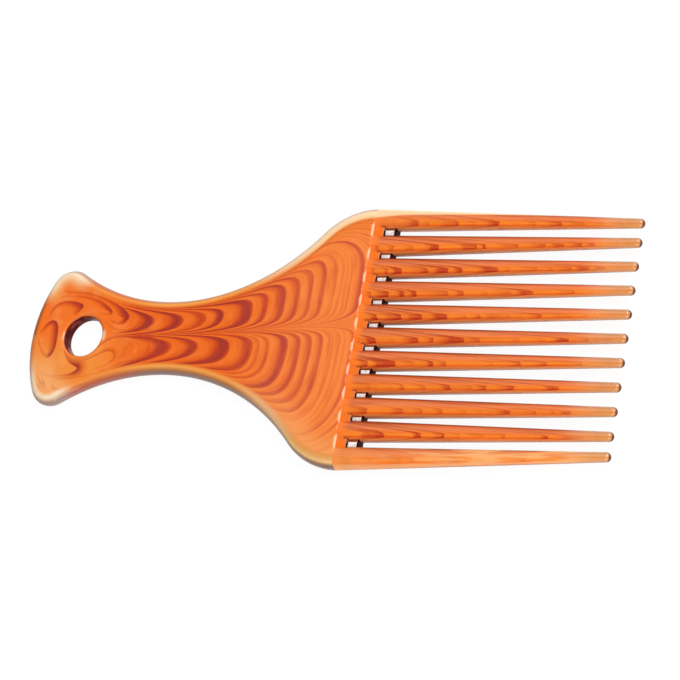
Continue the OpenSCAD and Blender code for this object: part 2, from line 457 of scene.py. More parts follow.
# Colours by darkness, in the grip and in the thicker palm
GRIP_COLOURS = [(0, "#f57426"), (.2, "#ec681c"), (.45, "#dc5518"), (.7, "#c4421e"),
                (1, "#a43428")]
PALM_COLOURS = [(0, "#f68840"), (.2, "#ee7a38"), (.45, "#e26a36"), (.7, "#cf5838"),
                (1, "#be4c3a")]
OUTER_AMBER, PALE_BUTT, CLOUD = "#ea7c26", "#f5943c", "#fba45a"
# The peach band, and colours that paint light and shade: brown for dark lines, cream for
# highlights and maroon for the hang hole's wall
PEACH, SHADE_LINE_BROWN, HIGHLIGHT_CREAM, HOLE_SHADE_MAROON = "#f8ac6c", "#cca878", "#ffe2b8", "#640a02"
# Colours of the half-round edge from the back (-1) over the side (0) to the front (1). They
# paint its light and shade: darker and greyer towards the back, with a pale highlight band
# on the front half
AMBER_EDGE_SHADING = [(-1, "#8a5a3c"), (0, "#826c68"), (.33, "#8c6e64"), (.56, "#c47c44"),
              (.78, "#fca850"), (1, "#ee8434")]
BUTT_EDGE_SHADING = [(-1, "#8a5a3c"), (0, "#a87068"), (.36, "#b65e44"), (.6, "#d47840"),
             (.8, "#f49444"), (1, "#ee8434")]
CLEAR_EDGE_SHADING = [(-1, "#c09878"), (0, "#aa928a"), (.36, "#a4867a"), (.56, "#d8b090"),
              (.75, "#fce4c6"), (1, "#fdd8ae")]
UPPER_EDGE_SHADING = [(-1, "#c09878"), (0, "#aa928a"), (.34, "#a2867a"), (.54, "#d0a07a"),
              (.72, "#fcdcb8"), (1, "#ffd8a2")]
LOWER_EDGE_SHADING = [(-1, "#8a5a3c"), (0, "#8e7a78"), (.33, "#866452"), (.44, "#b88c60"),
              (.57, "#ffcc88"), (.78, "#eaa860"), (1, "#e6924a")]
# The hang hole's painted shade: how far it leans towards the butt's end, and where it fades
WALL_LEAN, WALL_FADE = 0.12, (HOLE_R + 0.05, HOLE_R + 0.45, 1.0, 0.0)
HANDLE_GLOSS, STYRENE_IOR, HANDLE_SHINE, HANDLE_GLASS = 0.08, 1.57, 0.2, (0.03, 0.05)
PIGMENT, HANDLE_PIGMENT = "#fdc500", 228.0


def arches(tree, x, share, pull, narrower, bend, power, fronts):
    """Darkness of the nested arches on one side of the seam."""
    curl = add(tree, MATH, "POWER", add(tree, MATH, "MULTIPLY", share, narrower), power)
    curl = add(tree, MATH, "MINIMUM", add(tree, MATH, "MULTIPLY", curl, bend), MOST_BEND)
    phase = add(tree, MATH, "ADD", add(tree, MATH, "ADD", x, curl), pull)
    n = len(fronts) - 1
    counts = [(front, k / n) for k, (front, dark) in enumerate(fronts)]
    count = add(tree, CURVE, {"points": counts}, 1.0, phase)
    count = add(tree, MATH, "MULTIPLY", count, float(n))
    part = add(tree, MATH, "FRACT", count)
    middle = add(tree, MATH, "ADD", add(tree, MATH, "FLOOR", count), 0.5)
    depths = [(k + 0.5, dark) for k, (front, dark) in enumerate(fronts[1:])]
    depths = [(0, depths[0][1])] + depths + [(n, depths[-1][1])]
    depth = add(tree, CURVE, {"points": depths}, 1.0, middle)
    shape = add(tree, CURVE, {"points": ARCH_SHAPE}, 1.0, part)
    spot = add(tree, JOIN, {}, phase, add(tree, MATH, "MULTIPLY", share, FINE_ACROSS))
    fine = add(tree, NOISE, {"noise_dimensions": "2D"}, spot, None, FINE_SCALE, FINE_DETAIL)
    fine = add(tree, RANGE, {}, fine, *FINE_LINES)
    arch = add(tree, MATH, "MULTIPLY", depth, shape)
    return add(tree, MATH, {"operation": "ADD", "use_clamp": True}, arch, fine)


def marbling(tree, x, y):
    """Darkness of the pigment, and the share of the way from the seam to the edge."""
    half_w = add(tree, ATTRIBUTE, {"attribute_name": "half_width"}, output=FACTOR)
    # Seam: the two halves of the flow met here, a little off the middle
    seam = add(tree, MATH, "DIVIDE", add(tree, MATH, "ADD", x, SEAM_START), SEAM_L)
    seam = add(tree, "ShaderNodeClamp", {}, seam, 0.0, 2.0)
    seam = add(tree, MATH, "MULTIPLY", add(tree, MATH, "POWER", seam, SEAM_POWER), SEAM_OFF)
    off = add(tree, MATH, "SUBTRACT", y, seam)
    upper = add(tree, MATH, "GREATER_THAN", off, 0.0)
    off = add(tree, MATH, "ABSOLUTE", off)
    upper_share = add(tree, MATH, "DIVIDE", off, add(tree, MATH, "SUBTRACT", half_w, seam))
    lower_share = add(tree, MATH, "DIVIDE", off, add(tree, MATH, "ADD", half_w, seam))
    # The arches are a little narrower in the grip, and the seam pulls their middles back
    narrower = add(tree, RANGE, SOFT, x, *GRIP_NARROWER)
    pull = add(tree, MATH, "EXPONENT", add(tree, MATH, "DIVIDE", off, SEAM_PULL_W))
    pull = add(tree, MATH, "MULTIPLY", pull, SEAM_PULL)
    above = arches(tree, x, upper_share, pull, narrower, UPPER_BEND, UPPER_POWER, UPPER_ARCHES)
    below = arches(tree, x, lower_share, pull, narrower, LOWER_BEND, LOWER_POWER, LOWER_ARCHES)
    dark = add(tree, MIX, {}, upper, None, below, above)
    share = add(tree, MIX, {}, upper, None, lower_share, upper_share)
    # Round the hang hole the drawn flow lines take over
    dark = add(tree, MATH, "MULTIPLY", dark, add(tree, RANGE, SOFT, x, *PAST_HOLE))
    lines = add(tree, ATTRIBUTE, {"attribute_name": "flow_lines"}, output=FACTOR)
    lines = add(tree, MATH, {"operation": "MULTIPLY", "use_clamp": True}, lines, LINE_GAIN)
    return add(tree, MATH, "MAXIMUM", dark, lines), share


def face_colour(tree, place, x, y):
    """Colour of the flat faces, and the darkness it came from."""
    dark, share = marbling(tree, x, y)
    light = add(tree, MATH, "SUBTRACT", 1.0, dark)
    outer = add(tree, RANGE, SOFT, share, *OUTER_BAND)
    # The butt below the hole holds less pigment, and pale clouds drift over the whole butt
    pale = add(tree, MATH, "MULTIPLY", add(tree, RANGE, SOFT, x, *PALE_ALONG),
               add(tree, RANGE, SOFT, y, *PALE_ACROSS))
    pale = add(tree, MATH, "MULTIPLY", pale, light)
    cloud = add(tree, NOISE, {}, place, None, CLOUD_SCALE, CLOUD_DETAIL)
    cloud = add(tree, RANGE, SOFT, cloud, *CLOUDS)
    cloud = add(tree, MATH, "MULTIPLY", cloud, add(tree, RANGE, {}, x, *CLOUD_ALONG))
    cloud = add(tree, MATH, "MULTIPLY", cloud, light)
    palm = add(tree, RAMP, {"points": PALM_COLOURS}, dark)
    colour = add(tree, RAMP, {"points": GRIP_COLOURS}, dark)
    for amount, over in ((add(tree, RANGE, SOFT, x, *TO_PALM), palm), (outer, OUTER_AMBER),
                         (pale, PALE_BUTT), (cloud, CLOUD)):
        colour = add(tree, MIX, {"data_type": "RGBA", "A_Color": colour, "B_Color": over},
                     amount, output=COLOUR)
    return colour, dark


def edge_shading_colour(tree, x, clear):
    """Colour of the half-round edge: brown, redder at the butt, pale where it is clear. The
    ramps paint shade towards the back of the edge and a highlight band on its front half.
    """
    turn = add(tree, ATTRIBUTE, {"attribute_name": "edge_turn"}, output=FACTOR)
    shoulder = add(tree, ATTRIBUTE, {"attribute_name": "shoulder"}, output=FACTOR)
    upper = add(tree, MATH, "MAXIMUM", shoulder, 0.0)
    lower = add(tree, MATH, "MAXIMUM", add(tree, MATH, "MULTIPLY", shoulder, -1.0), 0.0)
    colour = add(tree, RAMP, {"points": AMBER_EDGE_SHADING}, turn)
    for amount, stops in ((add(tree, RANGE, SOFT, x, *BESIDE_BUTT), BUTT_EDGE_SHADING),
                          (clear, CLEAR_EDGE_SHADING), (upper, UPPER_EDGE_SHADING), (lower, LOWER_EDGE_SHADING)):
        over = add(tree, RAMP, {"points": stops}, turn)
        colour = add(tree, MIX, {"data_type": "RGBA", "A_Color": colour, "B_Color": over},
                     amount, output=COLOUR)
    return colour


def marbled_styrene():
    """Moulded clear styrene with flow-drawn pigment: glossy, cloudy inside, clear edge. Its
    colour paints shade and a highlight on the edge, highlights at the root step, and shade
    at the hang hole.
    """
    material, tree = empty_material("moulded_marbled_styrene")
    place = add(tree, COORDS, {}, output=OBJECT_COORDS)
    place = add(tree, VECTOR, {"operation": "SCALE", "Scale": 1 / MM}, place)
    x, y, z = add(tree, SPLIT, {}, place).node.outputs
    peach, rim, dark_shade_line, painted_highlight, clear = [
        add(tree, ATTRIBUTE, {"attribute_name": name}, output=FACTOR)
        for name in ("peach", "rim", "dark_shade_line", "painted_highlight", "clear_rim")]
    colour, dark = face_colour(tree, place, x, y)
    # Beside a clear edge the pigment thins out, but the darkest streaks show through
    lighter = add(tree, MATH, "MULTIPLY_ADD", dark, -0.5, 1.0)
    peach = add(tree, MATH, "MULTIPLY", peach, lighter)
    # Painted shade towards the hang hole's wall, where the eye looks into the depth of the
    # plastic. It reaches a little further on the side towards the butt's end
    flat = add(tree, JOIN, {}, x, y)
    from_hole = add(tree, VECTOR, "DISTANCE", flat, (HOLE_X, 0.0, 0.0), output=VALUE)
    lean = add(tree, MATH, "DIVIDE", add(tree, MATH, "SUBTRACT", x, HOLE_X), from_hole)
    wall_shade = add(tree, MATH, "MULTIPLY_ADD", lean, WALL_LEAN, from_hole)
    wall_shade = add(tree, RANGE, SOFT, wall_shade, *WALL_FADE)
    edge_shading = edge_shading_colour(tree, x, clear)
    # Laid over the faces: the peach band, the edge with its painted shade and highlight band,
    # brown lines of painted shade, painted highlights, and the painted shade of the hole's wall
    for amount, blend, over in ((peach, "MIX", PEACH), (rim, "MIX", edge_shading),
                                (dark_shade_line, "MULTIPLY", SHADE_LINE_BROWN),
                                (painted_highlight, "MIX", HIGHLIGHT_CREAM), (wall_shade, "MIX", HOLE_SHADE_MAROON)):
        colour = add(tree, MIX, {"data_type": "RGBA", "blend_type": blend, "A_Color": colour,
                                 "B_Color": over}, amount, output=COLOUR)
    glass = add(tree, MATH, "MULTIPLY", clear, rim)
    glass = add(tree, RANGE, {}, glass, 0.0, 1.0, *HANDLE_GLASS)
    plastic = add(tree, PLASTIC, {"Roughness": HANDLE_GLOSS, "IOR": STYRENE_IOR,
                                  "Specular IOR Level": HANDLE_SHINE,
                                  "Transmission Weight": glass}, colour)
    inside = add(tree, "ShaderNodeVolumeAbsorption", {}, PIGMENT, HANDLE_PIGMENT)
    add(tree, SURFACE, {}, plastic, inside)
    return material


# The hang hole's wall out to this many millimetres takes a material of painted shade: dark maroon
# clouded with plum
WALL_TO = 0.22
DEEP_SHADE_MAROON, DEEP_SHADE_PLUM = "#561410", "#8a3a34"
DEEP_STREAKS, DEEP_CLOUDS = (350.0, 350.0, 900.0), (0.4, 0.65)
DEEP_GLOSS, DEEP_SHINE = 0.2, 0.03


def hole_wall_shade():
    """The same styrene on the hang hole's wall, painted dark maroon clouded with plum as the
    shade where the wall looks into the depth of the pigment.
    """
    material, tree = empty_material("shaded_hole_wall_styrene")
    place = add(tree, COORDS, {}, output=OBJECT_COORDS)
    place = add(tree, VECTOR, "MULTIPLY", place, DEEP_STREAKS)
    cloud = add(tree, NOISE, {}, place, None, 1.0, 1.0)
    cloud = add(tree, RANGE, SOFT, cloud, *DEEP_CLOUDS)
    colour = add(tree, MIX, {"data_type": "RGBA", "A_Color": DEEP_SHADE_MAROON,
                             "B_Color": DEEP_SHADE_PLUM}, cloud, output=COLOUR)
    plastic = add(tree, PLASTIC, {"Roughness": DEEP_GLOSS, "IOR": STYRENE_IOR,
                                  "Specular IOR Level": DEEP_SHINE}, colour)
    add(tree, SURFACE, {}, plastic)
    return material


outline = handle_outline()
shell = handle_shell(outline)
handle = add_piece("marbled_handle", shell, marbled_styrene())
# The hang hole's wall takes the second material, whose colour is painted shade
handle.data.materials.append(hole_wall_shade())
for face in handle.data.polygons:
    if math.hypot(face.center.x / MM - HOLE_X, face.center.y / MM) < HOLE_R + WALL_TO:
        face.material_index = 1

# Flow lines round the hang hole: x, y, how far the pigment fades to the right of the run,
# and its strength there. Each has one crisp side, like the edge of a fold.
LINES_FROM_X, LINE_STEPS, LINE_WIDEN = -42, 10, 1.6
LINE_LEAD, LINE_RISE, LINE_FADE, LINE_END = 0.12, 0.28, 1.3, 0.6
FLOW_LINES = [
    [(-82, .5, .5, .2), (-81, 1.5, .7, .4), (-80, 3.1, 1, .6), (-78.8, 4.1, 1.3, .75),
     (-77.3, 4.2, 1.6, .8), (-76.2, 3, 1.8, .8), (-75.7, 1, 1.8, .75), (-75.5, -2, 1.8, .75),
     (-75.7, -4.5, 2, .75), (-76.6, -6.1, 2, .8), (-77.6, -6.4, 1.6, .6), (-79, -5.6, .9, .5),
     (-80.1, -4.3, .7, .45), (-81.3, -2, .5, .4), (-82, -.7, .4, .3)],
    [(-80, 5, .4, .1), (-79.6, 6.2, .6, .35), (-78.9, 7.8, .8, .5), (-77.6, 9.1, 1, .55),
     (-75.5, 9.8, 1.1, .6), (-73, 9.7, 1.4, .65), (-71, 9.3, 2.2, .7), (-69.9, 8.9, 2.8, .75),
     (-69.4, 8.2, 3, .75), (-69.9, 7.3, 2.6, .6), (-71, 5.9, 1.6, .3)],
    [(-80.5, 9, .4, .1), (-79, 10.6, .5, .15), (-77, 11.2, .6, .2), (-74, 11.4, .6, .3),
     (-70, 11.2, .7, .4), (-66.5, 10.5, .9, .5), (-64, 9.6, 1.3, .55), (-61.6, 8.2, 2, .6),
     (-60.3, 7, 2.6, .65), (-60.1, 6.1, 2.4, .5), (-61, 5.6, 1.2, .3), (-63.5, 5.9, .4, .1)],
    [(-76, 13, .8, .25), (-74, 12.6, .9, .35), (-70, 12.4, .9, .4), (-66, 11.5, .9, .45),
     (-62, 10.1, .9, .5), (-59, 8.8, 1.4, .6), (-56.6, 7.4, 2.4, .75), (-55, 5.9, 3, .85),
     (-54.8, 4.6, 2.8, .8), (-56, 3.3, 1.8, .6), (-58, 3, 1, .4), (-60, 3.9, .5, .3),
     (-61, 5, .3, .1)],
    [(-64.5, 10.6, .4, .2), (-61.5, 9.6, .5, .4), (-59, 8.3, .6, .4), (-57.6, 7.2, .7, .3),
     (-57, 6.2, .7, .15)],
    [(-48, 1.3, .7, .4), (-52, 1, .7, .5), (-56, 1.1, .6, .45), (-58.5, 1.6, .5, .4),
     (-60.6, 2.7, .4, .3), (-62.5, 4.3, .3, .1)],
    [(-80.5, -8, .3, .1), (-79.3, -9.7, .4, .35), (-77.5, -10.7, .6, .5), (-75, -11.2, .7, .5),
     (-72.5, -11.1, .9, .5), (-70, -10.7, 1.4, .55), (-68.5, -10.1, 2, .7),
     (-67.6, -9.3, 2.6, .75), (-68.3, -8.8, 2.6, .75), (-69.6, -8.2, 2.2, .65),
     (-71, -7.2, 1.8, .55), (-72.2, -5.6, 1.6, .5), (-73.1, -3.6, 1.3, .45), (-73.9, -1, 1, .4),
     (-74.1, 1, .6, .2)],
    [(-66, -10.4, .4, .1), (-62, -9.1, .5, .25), (-59, -8, .7, .35), (-57.7, -6.9, .9, .4),
     (-57.3, -5.7, 1.2, .45), (-58, -4.7, 1.2, .5), (-59.5, -4.5, .9, .5), (-61, -5.1, .7, .5),
     (-63, -6.1, .7, .5), (-66, -7.2, .8, .45), (-69, -7, .8, .4), (-71, -5.6, .6, .35),
     (-72, -3.6, .3, .15)],
    [(-45, -1.4, 1.8, .3), (-47.5, -1.1, 1.8, .6), (-51, -.8, 1.4, .6), (-55, -.7, 1, .5),
     (-58, -.9, .9, .5), (-60.2, -1.8, .8, .5), (-62, -3.3, .6, .45), (-63.6, -4.9, .5, .35),
     (-66, -6.5, .4, .2)],
    [(-46, -6.5, .6, .3), (-51, -7.2, .8, .45), (-55, -8.3, .8, .45), (-58, -9.6, .7, .4),
     (-62, -11, .7, .4), (-66, -11.9, 1, .4), (-71, -12.6, 1.8, .4), (-73.4, -12.6, 2, .3)],
    [(-73.6, -13, .5, .3), (-73.4, -14.3, 1, .6), (-72, -14.8, 1.4, .65),
     (-69.5, -14.8, 1.4, .55), (-67, -13.6, 1, .3)],
    [(-81.5, -8, .6, .3), (-80.3, -11, .9, .7), (-78.4, -13.8, 1, .7), (-76, -15.6, .7, .3)],
    [(-79.6, -10.4, .5, .3), (-78, -12.6, .8, .75), (-76.2, -14.6, .8, .7),
     (-74.2, -15.9, .6, .3)],
    [(-77.6, -11.6, .5, .3), (-76.6, -13.2, .9, .8), (-75.6, -14.2, .6, .3)],
]


def smooth_step(low, high, v):
    """0 below low, 1 above high and an S-shaped rise between them."""
    t = np.clip((v - low) / (high - low), 0, 1)
    return t * t * (3 - 2 * t)


def drawn(points):
    """A flow line as closely spaced points, smooth through its own points."""
    pts = np.array([points[0]] + points + [points[-1]], float)
    rows = []
    for a, b, c, d in zip(pts, pts[1:], pts[2:], pts[3:]):
        for k in range(LINE_STEPS):
            t = k / LINE_STEPS
            rows.append(0.5 * ((2 * b) + (c - a) * t + (2 * a - 5 * b + 4 * c - d) * t * t
                               + (3 * b - 3 * c + d - a) * t ** 3))
    return np.array(rows + [pts[-1]])


def flow_strength(spots):
    """Pigment of the flow lines at each spot, from 0 to 1."""
    found = np.zeros(len(spots))
    near = np.flatnonzero(spots[:, 0] < LINES_FROM_X)
    q = spots[near, :2]
    rows = np.arange(len(q))
    for points in FLOW_LINES:
        pts = drawn(points)
        mids, runs = (pts[1:] + pts[:-1]) / 2, pts[1:, :2] - pts[:-1, :2]
        runs /= np.linalg.norm(runs, axis=1)[:, None]
        off = q[:, None, :] - mids[None, :, :2]
        pick = np.hypot(off[..., 0], off[..., 1]).argmin(1)
        o, r = off[rows, pick], runs[pick]
        aside = r[:, 1] * o[:, 0] - r[:, 0] * o[:, 1]
        ahead = np.abs(o[:, 0] * r[:, 0] + o[:, 1] * r[:, 1])
        rise = smooth_step(-LINE_LEAD, LINE_RISE, aside)
        fall = np.clip(1 - aside / (mids[pick, 2] * LINE_WIDEN), 0, 1) ** LINE_FADE
        strength = np.where(ahead > LINE_END, 0, mids[pick, 3] * rise * fall)
        found[near] = np.maximum(found[near], strength)
    return found


def half_widths(spots):
    """The outline's half width at each spot's place along X."""
    places, widths = zip(*sorted((p.real, p.imag) for p, out in outline))
    return np.interp(spots[:, 0], places, widths)


def edge_gap(spots):
    """Distance from the outline, seen from above, and the nearest station's number."""
    side = np.array([(p.real, p.imag) for p, out in outline])
    found, station = [], []
    for chunk in np.array_split(spots, 80):
        far = np.hypot(chunk[:, None, 0] - side[None, :, 0],
                       np.abs(chunk)[:, None, 1] - side[None, :, 1])
        found.append(far.min(1))
        station.append(far.argmin(1))
    return np.concatenate(found), np.concatenate(station)


def add_field(piece, name, values):
    """A number at each point of a piece, for its material to read."""
    layer = piece.data.attributes.new(name, "FLOAT", "POINT")
    layer.data.foreach_set("value", np.asarray(values, float))


# Stations of the outline, counted from the middle of the butt, between which something fades
CORNER_MID = BUTT_STEPS + CORNER_STEPS // 2
BUTT_MIDDLE, SHOULDER, SHOULDER_RIM, SHOULDER_LINE = (20, 38), (170, 222), (192, 222), (150, 205)
SHOULDER_TOP = (232, 256)
# Millimetres from a corner's tip at which its clear edge is full, and at which it has gone
CORNER_FULL, CORNER_GONE, LOWER_CORNER_GONE = 5, 11.5, 17
# Millimetres that the clear edge reaches onto the face, and its softness by half thickness
EDGE_REACH, UPPER_REACH, LOWER_REACH, REACH_SOFT = 0.35, 1.2, 0.3, 0.12
UPPER_ONTO_FACE, TOP_LOSS, LOWER_ONTO_FACE = 0.65, 0.3, 0.1
# Millimetres inside the edge over which the peach and the brown lines of painted shade
# fade, and their strengths
UPPER_CORNER_PEACH, LOWER_CORNER_PEACH = (0.8, 3.6), (4, 9)
UPPER_PEACH, LOWER_PEACH, LOWER_PEACH_MOST = (0, 1.2), (0, 7), 0.6
BROWN_FADE, LOWER_BROWN = (-0.5, 0.4), 0.3
BROWN_LINE_IN, BROWN_LINE_W, BROWN_LINE_MOST = 0.9, 0.35, 0.45
# Painted highlights on the root step: shares of its round, and millimetres beside a slot or
# off the root
HIGHLIGHT_COMES, HIGHLIGHT_GOES, HIGHLIGHT_MOST = (0.15, 0.45), (0.62, 0.9), 0.9
BESIDE_SLOT, BEFORE_ROOT = (1.6, 2.1), 0.3
# Painted glints at the hang hole: strength, degrees round it, and millimetres off its rim
LEFT_GLINT, LEFT_ANGLE, LEFT_OFF_RIM = 0.45, (6, 20), (0.5, 0.8)
RIGHT_GLINT, RIGHT_ANGLE, RIGHT_OFF_RIM = 0.75, (5, 17), (0.9, 2.0)
GLINT_COMES, NO_GAP = (0.1, 0.3), 1e-6
spots = np.array(shell.verts)
gap, station = edge_gap(spots)
plus = spots[:, 1] > 0
half_t = np.array([thickness(x) / 2 for x in spots[:, 0]])
inside = gap - half_t
lift = spots[:, 2] - half_t
turn = np.where(inside < 0, np.arctan2(lift, np.maximum(-inside, NO_GAP)) / (math.pi / 2),
                np.sign(lift))
corner_tip = outline[CORNER_MID][0]
from_tip = np.hypot(spots[:, 0] - corner_tip.real, np.abs(spots[:, 1]) - corner_tip.imag)
gone = np.where(plus | (station > CORNER_MID), CORNER_GONE, LOWER_CORNER_GONE)
at_corner = 1 - smooth_step(CORNER_FULL, gone, from_tip)
at_shoulder = smooth_step(*SHOULDER, station)
at_butt_middle = 1 - smooth_step(*BUTT_MIDDLE, station)

# The clear edge reaches a little way onto the front face, and beyond it lies a peach band
upper_onto_face = UPPER_ONTO_FACE - TOP_LOSS * smooth_step(*SHOULDER_TOP, station)
onto_face = np.where(plus, upper_onto_face, LOWER_ONTO_FACE)
reach = EDGE_REACH + np.where(plus, UPPER_REACH, LOWER_REACH) * at_corner
reach = reach + onto_face * smooth_step(*SHOULDER_RIM, station)
soft = REACH_SOFT * half_t
rim = 1 - smooth_step(0, 1, (inside + soft) / (reach + soft))
corner_peach = 1 - np.where(plus, smooth_step(*UPPER_CORNER_PEACH, inside),
                            smooth_step(*LOWER_CORNER_PEACH, inside))
shoulder_peach = np.where(plus, 1 - smooth_step(*UPPER_PEACH, inside),
                          LOWER_PEACH_MOST * (1 - smooth_step(*LOWER_PEACH, inside)))
peach = np.maximum(at_corner * corner_peach, at_shoulder * shoulder_peach)

# Brown lines of painted shade: round the middle of the butt, and just inside the +Y
# shoulder's edge
dark_shade_line = at_butt_middle * (1 - smooth_step(*BROWN_FADE, inside)) * np.where(plus, 1, LOWER_BROWN)
fine_line = np.exp(-((inside - BROWN_LINE_IN) / BROWN_LINE_W) ** 2)
fine_line = fine_line * smooth_step(*SHOULDER_LINE, station)
dark_shade_line = dark_shade_line + BROWN_LINE_MOST * fine_line * plus

# Painted highlights: one before each slot on the root step's round, and two at the hang hole
root_y = np.array([t.root_y for t in teeth])
off_slot = np.abs(spots[:, 1, None] - (root_y[1:] + root_y[:-1])[None, :] / 2).min(1)
sunk = (PALM_T - spots[:, 2]) / STEP_ROUND
painted_highlight = smooth_step(*HIGHLIGHT_COMES, sunk) * (1 - smooth_step(*HIGHLIGHT_GOES, sunk))
painted_highlight = HIGHLIGHT_MOST * painted_highlight * (1 - smooth_step(*BESIDE_SLOT, off_slot))
painted_highlight = painted_highlight * (spots[:, 0] > ROOT_X - BEFORE_ROOT)
off_rim = np.hypot(spots[:, 0] - HOLE_X, spots[:, 1]) - HOLE_R
round_hole = np.abs(np.degrees(np.arctan2(spots[:, 1], spots[:, 0] - HOLE_X)))
glint = 0.0
for most, degrees, angle, off in ((LEFT_GLINT, 180 - round_hole, LEFT_ANGLE, LEFT_OFF_RIM),
                                  (RIGHT_GLINT, round_hole, RIGHT_ANGLE, RIGHT_OFF_RIM)):
    glint += most * (1 - smooth_step(*angle, degrees)) * (1 - smooth_step(*off, off_rim))
painted_highlight = np.maximum(painted_highlight, glint * smooth_step(*GLINT_COMES, off_rim) * (lift > 0))

for name, values in (("half_width", half_widths(spots)), ("flow_lines", flow_strength(spots)),
                     ("edge_turn", turn), ("clear_rim", np.maximum(at_corner, at_shoulder)),
                     ("shoulder", at_shoulder * np.where(plus, 1, -1)), ("rim", rim),
                     ("peach", peach), ("dark_shade_line", dark_shade_line), ("painted_highlight", painted_highlight)):
    add_field(handle, name, values)
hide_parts("butt_end", "grip", "palm_plate")
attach(handle, "root")


# Root webs: ten stepped bars of clear styrene close the inner ends of the slots. The upper
# step joins the teeth right beside the palm, and the lower one ends in a rounded edge.
LAND_L, LAND_T = 2.8, 4.0
WEB_L, WEB_T = 3.0, 2.6
STEP_EDGE_R = 0.15
ACROSS_WEB, EDGE_ROUND_STEPS = 16, 4
# Colours of the land's amber, of a pale pane of painted light, and of its frame and sill of
# painted shade
LAND_AMBER, LIT_PANE_WHITE, LIT_PANE_GREY = "#ee7428", "#fff8f4", "#e0d6d2"
FRAME_SHADE_DARK, FRAME_SHADE_BROWN, SILL_SHADE_BROWN = "#300000", "#a8562c", "#8c4018"
WEB_GLOSS, WEB_SHINE = 0.05, 0.03
PANE_MOTTLE_SCALE, PANE_MOTTLE_DETAIL, PANE_MOTTLE = 0.9, 1.0, (0.4, 0.62)
# Places counted from the step between the two thicknesses, in millimetres along X
LAND_END, PANE_START, PANE_END = (-0.25, -0.05), (0.0, 0.2), (WEB_L - 0.65, WEB_L - 0.45)
DASH_START, DASH_END = (-1.3, -0.9), (-0.1, 0.1)
# Places across a slot: shares of its width from its side, or from the lower to the upper tooth
PANE_SIDE, HIGH_PANE, SILL_SPAN, DASH_SPAN = (0.01, 0.06), (0.6, 0.7), (0.62, 0.7), (0.72, 0.86)
UNDERSIDE = MID_Z - WEB_T / 2 + 0.1


def add_web(shell, left, right):
    """One stepped bar between two teeth, as grids of points over X, height and width."""
    def point(x, z, s):
        low, high = [t.centre(x) + k * math.sqrt(max(0, t.radius(x) ** 2 - z * z))
                     for t, k in ((left, -1), (right, 1))]
        return (x, low + (high - low) * s / ACROSS_WEB, MID_Z + z)

    def grid(places, levels):
        """Front, back and both sides of one step. levels holds the heights at each place."""
        for k in (-1, 0):
            shell.skin([[point(x, row[k], s) for s in range(ACROSS_WEB + 1)]
                        for x, row in zip(places, levels)])
        for s in (0, ACROSS_WEB):
            shell.skin([[point(x, z, s) for z in row] for x, row in zip(places, levels)])

    def cap(x, levels):
        shell.skin([[point(x, z, s) for s in range(ACROSS_WEB + 1)] for z in levels])

    inner = [-WEB_T / 4, 0.0, WEB_T / 4]
    turns = [math.pi / 2 * k / EDGE_ROUND_STEPS for k in range(EDGE_ROUND_STEPS + 1)]
    r, low, high = STEP_EDGE_R, WEB_T / 2, LAND_T / 2
    step, end = ROOT_X + LAND_L, ROOT_X + LAND_L + WEB_L
    tops = [(ROOT_X, high)]
    tops += [(step - r + r * math.sin(a), high - r + r * math.cos(a)) for a in turns]
    land = [[-h, -(h + low) / 2, -low] + inner + [low, (h + low) / 2, h] for x, h in tops]
    grid([x for x, h in tops], land)
    cap(ROOT_X, land[0])
    cap(step, land[-1][6:])
    cap(step, land[-1][:3])
    tops = [(step, low)]
    tops += [(end - r + r * math.sin(a), low - r + r * math.cos(a)) for a in turns]
    web = [[-h] + inner + [h] for x, h in tops]
    grid([x for x, h in tops], web)
    cap(end, web[-1])


